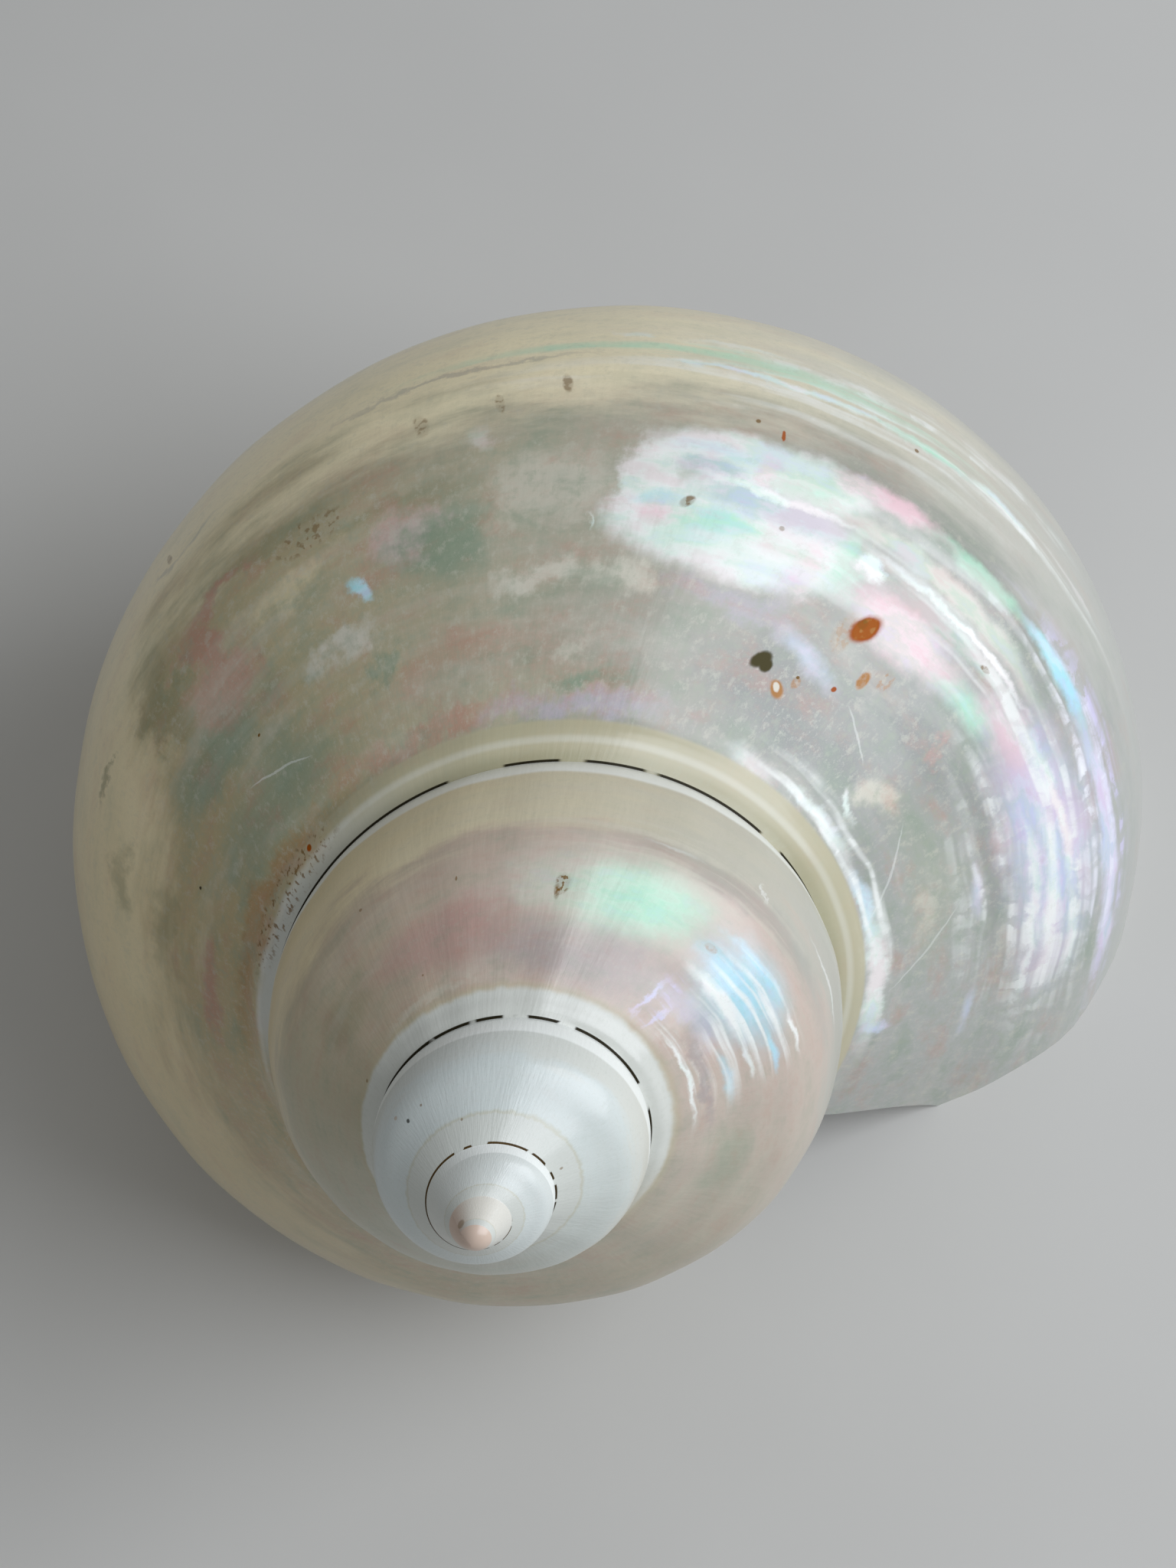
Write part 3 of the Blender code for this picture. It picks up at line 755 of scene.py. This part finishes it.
# Small marks; the last share is how much of one is speckled, usually none
LAST_MARKS = (
    ("white", 22.8, 17.6, 4.5, 0.1, 0.4, -15), ("white", 66, 19, 3, 0.1, 0.28, -22),
    ("white", 76, 12, 5, 0.12, 0.28, -28), ("white", 83, 16, 5, 0.12, 0.26, -36),
    ("ochre", 61.2, 28.6, 1, 1.6, 0.45, 12, 0.6), ("ochre", 63.9, 25.2, 0.55, 0.75, 0.95, 0, 0.2),
    ("ochre", 64.9, 27.2, 1, 0.9, 0.55, 0, 0.8), ("rust", 62, 30.9, 1.45, 1.05, 1, 50),
    ("ochre", 62, 30.9, 1.15, 0.8, 0.85, 50, 0.7), ("brown", 61.7, 31.3, 0.5, 0.4, 0.6, 10, 0.5),
    ("ochre", 59.75, 17, 1.05, 0.55, 0.95, -20), ("pearl", 59.65, 17.2, 0.55, 0.28, 0.9, -20),
    ("bore", 57.8, 19.8, 0.95, 0.66, 1, 30), ("bore", 58.25, 19.2, 0.6, 0.52, 1),
    ("rust", 62.8, 21.6, 0.28, 0.22, 0.95), ("ochre", 60.6, 19.2, 0.45, 0.5, 0.6, 0, 0.5),
    ("brown", 60.5, 20, 0.18, 0.14, 0.9), ("brown", 50.2, 37.6, 0.6, 0.42, 0.85, 30, 0.5),
    ("brown", 68.3, 38.8, 0.55, 0.22, 0.8, 10, 0.5), ("brown", 55.2, 37.5, 0.25, 0.18, 0.6, 0, 0.3),
    ("rust", 53.6, 51, 0.16, 0.5, 0.9, 8), ("brown", 52.3, 52.3, 0.2, 0.2, 0.8),
    ("brown", 22.8, 24.2, 0.2, 0.14, 0.95), ("crack", 11.4, 21, 0.24, 0.14, 0.9),
    ("brown", 59.4, 59.8, 0.2, 0.2, 0.8), ("brown", 30.5, 44.5, 3.6, 1.3, 0.6, 0, 0.85),
    ("brown", 36.8, 53.4, 0.55, 1.3, 0.6, 12, 0.7), ("brown", 40.5, 53.8, 0.35, 1.1, 0.6, 14, 0.7),
    ("brown", 43.5, 56.3, 0.4, 1, 0.65, 14, 0.5), ("brown", 22, 66.2, 0.25, 1, 0.6, 12, 0.3),
    ("rust", 21.7, 4.8, 0.45, 0.32, 1), ("brown", 17, 4, 13, 1.6, 0.8, 0, 1),
)
BEFORE_MARKS = (
    ("brown", 44.9, 41.6, 1.3, 1.7, 0.9, 0, 0.75), ("brown", 44.5, 39.2, 0.5, 1.3, 0.75, 10, 0.4),
    ("ochre", 61.8, 40.4, 1.2, 0.6, 0.45, 0, 0.5), ("brown", 10.4, 11, 0.5, 0.3, 0.6),
    ("brown", 34, 47.4, 0.2, 0.4, 0.7), ("brown", 28, 21.8, 0.25, 0.2, 0.6),
    ("brown", 23.2, 54.8, 0.3, 0.3, 0.6),
)
SPIRE_MARKS = (
    ("brown", -127, 25, 11, 8, 0.55), ("crack", 52.7, 41.6, 0.8, 0.8, 0.85),
    ("brown", 55.5, 43.3, 0.5, 0.5, 0.7), ("ochre", 51.3, 51.6, 0.8, 0.8, 0.4),
    ("brown", 61, 20, 0.7, 0.5, 0.6), ("brown", 83.5, 8, 0.7, 0.7, 0.6),
)


def ground_run(tree, turn, stops, ink):
    """Colours that change along the coil through the given turns."""
    first, last = stops[0][0], stops[-1][0]
    run = add(tree, "ValToRGB", add(tree, "MapRange", turn, first, last))
    colours = run.node.color_ramp
    colours.interpolation = "B_SPLINE"
    colours.elements[0].color = ink[stops[0][1]]
    colours.elements[-1].color = ink[stops[-1][1]]
    for at, key in stops[1:-1]:
        colours.elements.new((at - first) / (last - first)).color = ink[key]
    return run


def patches(entries, usual, grown, start, end):
    """Patches between two turns: (place in map mm, colour, half sizes in map mm, strength, tilt, share).

    The entries are those of the last turn, the turn before and the first turns. Their half
    sizes are grown a little, because the edge of an oval fades inwards.
    """
    found = []
    for (first, percent), items in zip(VISIBLE, entries):
        for key, along, down, half_x, half_y, strength, *rest in items:
            spot = ((first + percent * along) * ALONG_PER_TURN, 0.01 * down * DOWN_PER_TURN)
            tilt, share = rest + [0.0, usual][len(rest):]
            if (start * ALONG_PER_TURN - PATCH_MARGIN < spot[0] + half_x
                    and spot[0] - half_x < end * ALONG_PER_TURN + PATCH_MARGIN):
                found.append((spot, key, (grown[0] * half_x, grown[1] * half_y), strength, tilt, share))
    return found


def nacre_ground(tree, coil, turn, border, broad, flecks, cloud_place, clouds, ink):
    """Milky ground: two colour runs along the coil, clouds on them, and green and mauve mottling."""
    shifted = add(tree, "Math", broad, GROUND_WANDER, turn, operation="MULTIPLY_ADD")
    shifted = add(tree, "Math", shifted, 0.5 * GROUND_WANDER, operation="SUBTRACT")
    ground = cover(tree, ground_run(tree, shifted, UPPER_GROUND, ink),
                   ground_run(tree, shifted, LOWER_GROUND, ink), (border, 30.0, 38.0))
    for spot, key, half, strength, tilt, soft in clouds:
        ground = cover(tree, ground, ink[key], oval(tree, cloud_place, spot, half, tilt, soft, strength))
    # Streaks of mottling are 10 mm long, and the flecks about 1 mm across
    hue = grain(tree, coil, 0.14, 0.3, 7.0, 0.66, shift=(37.0, 11.0, 0.0))
    rough = product(tree, (turn, -1.9, -1.5, 0.2, 1.0), (turn, -0.9, -0.62, 0.45, 1.0),
                    (border, 28.0, 36.0, 1.0, 0.3))
    for key, pattern, low, high, most in (
            ("teal", hue, 0.48, 0.7, 0.5), ("mauve", hue, 0.51, 0.29, 0.48),
            ("pearl", broad, 0.5, 0.74, 0.45), ("sage", flecks, 0.52, 0.34, 0.42),
            ("pearl", flecks, 0.5, 0.68, 0.38)):
        ground = cover(tree, ground, ink[key], rough, (pattern, low, high, 0.0, most))
    return ground


def painted_highlights(tree, paint, coil, highlight_place, highlights, highlight_streaks, play_share, ink):
    """Painted highlights: bright patches of painted window reflection with a pastel play of colour inside,
    and fine painted highlight lines along the coil.
    """
    play = grain(tree, coil, 0.16, 0.42, 5.0, 0.6)
    opal = ink["blush"]
    for key, low in (("white", 0.4), ("mint", 0.47), ("sky", 0.53), ("violet", 0.6)):
        opal = cover(tree, opal, ink[key], (play, low, low + 0.09))
    # Each of these patches paints the window's reflection into the colour
    for spot, key, half, strength, tilt, soft in highlights:
        mask = oval(tree, highlight_place, spot, half, tilt, min(1.4 * soft, 0.95), strength)
        paint = cover(tree, paint, cover(tree, ink[key], opal, play_share), mask)
    if highlight_streaks:
        # These lines are painted highlights along the spiral ridges
        bend = add(tree, "TexNoise", coil, 0.07, 2.0, out="Color")
        bend = add(tree, "VectorMath", bend, (*LINE_BEND, 0.0), coil, operation="MULTIPLY_ADD")
        lines = product(tree, (grain(tree, bend, 0.04, 0.8, 2.0), 0.44, 0.64))
        # Ribs about 1.6 mm apart cross the lines
        ribs = product(tree, (grain(tree, highlight_place, 0.6, 0.22, 2.0, turned=0.25), 0.4, 0.6))
        for spot, key, half, strength, tilt, ribbed in highlight_streaks:
            mask = oval(tree, highlight_place, spot, half, tilt, 0.7, strength)
            cut = add(tree, "Math", ribs, ribbed, 1.0 - ribbed, operation="MULTIPLY_ADD")
            paint = cover(tree, paint, ink[key], mask, product(tree, lines, cut))
    return paint


def seam_paint(tree, paint, coil, turn, down, flecks, ink):
    """What follows the seam: a chalky band, a cream band, a white rim, and grime and painted crease shade in
    the open seam.
    """
    ragged = add(tree, "TexNoise", coil, 0.3, 5.0)
    edge = add(tree, "Math", product(tree, (turn, -2.2, -1.4, 7.6, 3.4)),
               product(tree, (turn, -1.3, -0.45, 0.0, 3.1)), operation="SUBTRACT")
    frayed = product(tree, (turn, -2.0, -1.6, 3.0, 1.3))
    edge = add(tree, "Math", ragged, frayed, edge, operation="MULTIPLY_ADD")
    below = add(tree, "Math", down, edge, operation="SUBTRACT")
    sides = add(tree, "Math", product(tree, (turn, -0.53, -0.46)), product(tree, (turn, -0.8, -0.95)),
                operation="MAXIMUM")
    mossy = cover(tree, ink["cream"], ink["moss"], (down, 1.2, 0.3, 0.0, 0.4))
    past = add(tree, "Math", down, product(tree, (turn, -2.4, -1.4, 37.6, 42.0)), operation="SUBTRACT")
    for colour, *factors in (
            (ink["cream"], (below, 2.2, 0.4, 0.0, 0.6), (turn, -0.7, -0.9)),
            (ink["chalk"], (below, 1.1, 0.0), (turn, -0.2, -0.33), sides, 0.85),
            (mossy, (down, 2.95, 2.6), (turn, -0.42, -0.27), 0.85),
            (ink["sage"], (flecks, 0.52, 0.62, 0.0, 0.12)),
            (ink["white"], (down, 1.9, 1.5), (down, 1.1, 1.4, 0.0, 0.22), (turn, -0.62, -0.45)),
            (ink["white"], (past, 0.0, 1.2), (turn, -0.84, -1.1), (turn, -3.4, -3.2), 0.75),
            (ink["peach"], (turn, -4.25, -4.42, 0.0, 0.5))):
        paint = cover(tree, paint, colour, *factors)
    # The dark seam line is grime and painted shade in the seam's crease: one line on the left of each turn,
    # the side away from the window, and dashes further round
    dashes = add(tree, "TexNoise", coil, 0.09, 1.0)
    angle = add(tree, "Math", turn, 2.0 * math.pi, operation="MULTIPLY")
    to_right = add(tree, "Math", angle, operation="COSINE")
    dashes = product(tree, (dashes, 0.43, 0.47))
    open_here = add(tree, "Math", dashes, product(tree, (to_right, -0.3, -0.42)), operation="MAXIMUM")
    within = add(tree, "Math", down, product(tree, (turn, -2.4, -0.15, 0.75, 0.17)), operation="DIVIDE")
    # Grime mixed with painted crease shade, browner on the first turns
    seam_dirt_and_shade = cover(tree, ink["crack"], ink["brown"], (turn, -1.8, -2.3, 0.0, 0.35))
    return cover(tree, paint, seam_dirt_and_shade, (within, 1.15, 0.85), open_here, (turn, -3.0, -2.9))


def nacre_material(name, start, end):
    """Polished nacre, the aragonite lining of a shell laid bare by grinding and buffing.

    It gives the eye a soft milky depth, pastel colours that run along the coil, painted
    highlights and highlight lines, and a broad gloss on top. The material holds the patches
    between the turns start and end.
    """
    ink = panel_tones()
    material, tree, shader = new_material(name)
    coil = add(tree, "UVMap", uv_map="coil")
    split = add(tree, "SeparateXYZ", coil).node
    down = split.outputs[1]
    turn = add(tree, "Math", split.outputs[0], ALONG_PER_TURN, operation="DIVIDE")
    wander = add(tree, "TexNoise", coil, 0.22, 6.0, 0.65, out="Color")
    offset = add(tree, "VectorMath", wander, (0.5, 0.5, 0.5), operation="SUBTRACT")
    cloud_place, highlight_place, mark_place = (
        add(tree, "VectorMath", offset, (*reach, 0.0), coil, operation="MULTIPLY_ADD") for reach in WANDER)
    broad = grain(tree, coil, 0.05, 0.2, 7.0, 0.62)
    flecks = add(tree, "TexNoise", coil, 0.9, 5.0, 0.78)
    # The border between the upper and the lower ground wanders and rises or falls with the turn
    border = add(tree, "Math", broad, BORDER_WANDER, down, operation="MULTIPLY_ADD")
    border = add(tree, "Math", border, product(tree, (turn, -0.37, -0.44, -2.5, 10.0)), operation="ADD")
    border = add(tree, "Math", border, product(tree, (turn, -0.62, -0.76, 0.0, 16.0)), operation="SUBTRACT")
    clouds = patches((LAST_CLOUDS, BEFORE_CLOUDS), 0.75, (1.2, 1.2), start, end)
    paint = nacre_ground(tree, coil, turn, border, broad, flecks, cloud_place, clouds, ink)
    highlights = patches((LAST_PAINTED_HIGHLIGHTS, BEFORE_PAINTED_HIGHLIGHTS), 0.6, (1.15, 1.2), start, end)
    highlight_streaks = patches((LAST_HIGHLIGHT_STREAKS, BEFORE_HIGHLIGHT_STREAKS), 0.0, (1.0, 1.0), start, end)
    play_share = LAST_PLAY if start > BEFORE_END else BEFORE_PLAY
    paint = painted_highlights(tree, paint, coil, highlight_place, highlights, highlight_streaks, play_share, ink)
    paint = seam_paint(tree, paint, coil, turn, down, flecks, ink)
    specks = add(tree, "TexNoise", coil, 1.7, 3.0)
    for spot, key, half, strength, tilt, speckled in patches(
            (LAST_MARKS, BEFORE_MARKS, SPIRE_MARKS), 0.0, (1.1, 1.1), start, end):
        factors = [oval(tree, mark_place, spot, half, tilt, 0.4, strength)]
        if speckled > 0.0:
            factors.append((specks, 0.42 + 0.12 * speckled, 0.52 + 0.12 * speckled, 1.0 - speckled, 1.0))
        paint = cover(tree, paint, ink[key], *factors)
    # Dirt, bore holes and the painted shade in the seam, all dark, are matt
    light = add(tree, "RGBToBW", paint)
    # Growth lines about 1 mm apart, drawn as coarse as the render shows them
    grown = grain(tree, coil, 1.0, 0.16, 3.0)
    bump = add(tree, "Bump", 0.25, 0.00008, None, grown)
    join(tree, shader, {
        "Base Color": paint, "Normal": bump, "Roughness": 0.34, "IOR": 1.55, "Coat Roughness": 0.12,
        "Specular IOR Level": product(tree, (light, 0.12, 0.3, 0.05, 0.5)),
        "Coat Weight": product(tree, (light, 0.12, 0.3, 0.0, 0.2))})
    return material


def inner_material():
    """Natural nacre of the living chamber, never polished: smooth, milky and a little pink."""
    ink = panel_tones()
    material, tree, shader = new_material("chamber_nacre")
    # Clouds about 8 mm wide
    cloud = add(tree, "TexNoise", add(tree, "TexCoord", out="Object"), 120.0, 3.0)
    paint = cover(tree, ink["white"], ink["blush"], (cloud, 0.4, 0.65))
    paint = cover(tree, paint, ink["mint"], (cloud, 0.46, 0.36, 0.0, 0.6))
    join(tree, shader, {"Base Color": paint, "Roughness": 0.28, "Coat Weight": 0.2})
    return material


def stage_material():
    """Matt painted board: even and pale, so that the shell stands out."""
    material, tree, shader = new_material("matt_board")
    # Its mottling is about 25 mm wide
    mottle = add(tree, "TexNoise", add(tree, "TexCoord", out="Object"), 40.0, 2.0)
    paint = cover(tree, (*srgb("#C9C8C4"), 1.0), (*srgb("#CFCECA"), 1.0), mottle)
    join(tree, shader, {"Base Color": paint, "Roughness": 0.85})
    return material


class SHELL_OT_pearl_shell(bpy.types.Operator):
    """Builds the polished shell as one spiral sheet with its flat rim and hollow mouth"""

    bl_idname = "shell.pearl_shell"
    bl_label = "Pearl shell"

    def execute(self, context):
        starts = [FIRST_TURN - 1.0] + [end for _, end in STRETCHES[:-1]]
        outside = [nacre_material("polished_nacre_" + name, start, end)
                   for start, (name, end) in zip(starts, STRETCHES)]
        inside = inner_material()
        shell = outer_skin(outside)
        take_away(shell, floor_block(inside))
        take_away(shell, hollow_tube(inside))
        work = bmesh.new()
        work.from_mesh(shell.data)
        bmesh.ops.remove_doubles(work, verts=work.verts[:], dist=MERGE_DISTANCE)
        bmesh.ops.dissolve_degenerate(work, edges=work.edges[:], dist=MERGE_DISTANCE)
        bmesh.ops.triangulate(work, faces=[f for f in work.faces if len(f.verts) > 4])
        work.to_mesh(shell.data)
        work.free()
        shell.data.shade_smooth()
        shell.data.set_sharp_from_angle(angle=SHARP_ANGLE)
        if len(shell.data.polygons) < FEWEST_FACES:
            raise RuntimeError("the shell came out empty")
        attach(shell, "root")
        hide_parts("shell")
        return {"FINISHED"}


class SHELL_OT_stage(bpy.types.Operator):
    """Lays the pale floor and sets the window light, the fill and the camera"""

    bl_idname = "shell.stage"
    bl_label = "Stage"

    def execute(self, context):
        half = FLOOR_HALF
        corners = np.array([(-half, -half, 0.0), (half, -half, 0.0), (half, half, 0.0), (-half, half, 0.0)])
        floor = make_mesh("floor", corners, [np.array([(0, 1, 2, 3)])], [stage_material()])
        scene = context.scene
        world = bpy.data.worlds.new("soft_room")
        world.use_nodes = True
        backdrop = world.node_tree.nodes["Background"]
        backdrop.inputs["Color"].default_value = (*srgb("#E6E8EA"), 1.0)
        backdrop.inputs["Strength"].default_value = ROOM_STRENGTH
        scene.world = world
        window = bpy.data.lights.new("window", "AREA")
        window.shape = "RECTANGLE"
        window.size, window.size_y = WINDOW_SIZE
        window.energy = WINDOW_POWER
        window.color = srgb("#F4F8FF")
        lamp = bpy.data.objects.new("window", window)
        scene.collection.objects.link(lamp)
        lamp.location = WINDOW_PLACE
        lamp.rotation_euler = (Vector(WINDOW_AIM) - Vector(WINDOW_PLACE)).to_track_quat("-Z", "Y").to_euler()
        lens = bpy.data.cameras.new("camera")
        lens.sensor_width = FILM_HEIGHT
        lens.lens = FILM_HEIGHT * FOCAL_PIXELS / IMAGE_HEIGHT
        lens.clip_start = 0.01
        camera = bpy.data.objects.new("camera", lens)
        forward = Vector(CAMERA_FORWARD).normalized()
        right = Vector(CAMERA_RIGHT)
        right = (right - forward * right.dot(forward)).normalized()
        up = right.cross(forward)
        turned = Matrix((right, up, -forward)).transposed().to_4x4()
        turned.translation = CAMERA_PLACE
        camera.matrix_world = turned
        scene.collection.objects.link(camera)
        scene.camera = camera
        scene.view_settings.view_transform = "Standard"
        return {"FINISHED"}


class SHELL_PT_panel(bpy.types.Panel):
    bl_label = "Turban shell"
    bl_idname = "SHELL_PT_panel"
    bl_space_type = "VIEW_3D"
    bl_region_type = "UI"
    bl_category = "Shell"

    def draw(self, context):
        layout = self.layout
        for group in (context.scene.shell_sizes, context.scene.shell_colours):
            for name in group.__annotations__:
                layout.prop(group, name)
        layout.operator(SHELL_OT_pearl_shell.bl_idname)
        layout.operator(SHELL_OT_stage.bl_idname)


CLASSES = (ShellSizes, ShellColours, SHELL_OT_pearl_shell, SHELL_OT_stage, SHELL_PT_panel)


def register():
    for item in CLASSES:
        bpy.utils.register_class(item)
    bpy.types.Scene.shell_sizes = bpy.props.PointerProperty(type=ShellSizes)
    bpy.types.Scene.shell_colours = bpy.props.PointerProperty(type=ShellColours)


def unregister():
    del bpy.types.Scene.shell_colours
    del bpy.types.Scene.shell_sizes
    for item in reversed(CLASSES):
        bpy.utils.unregister_class(item)


def main():
    register()
    bpy.ops.shell.pearl_shell()
    bpy.ops.shell.stage()


if __name__ == "__main__":
    main()
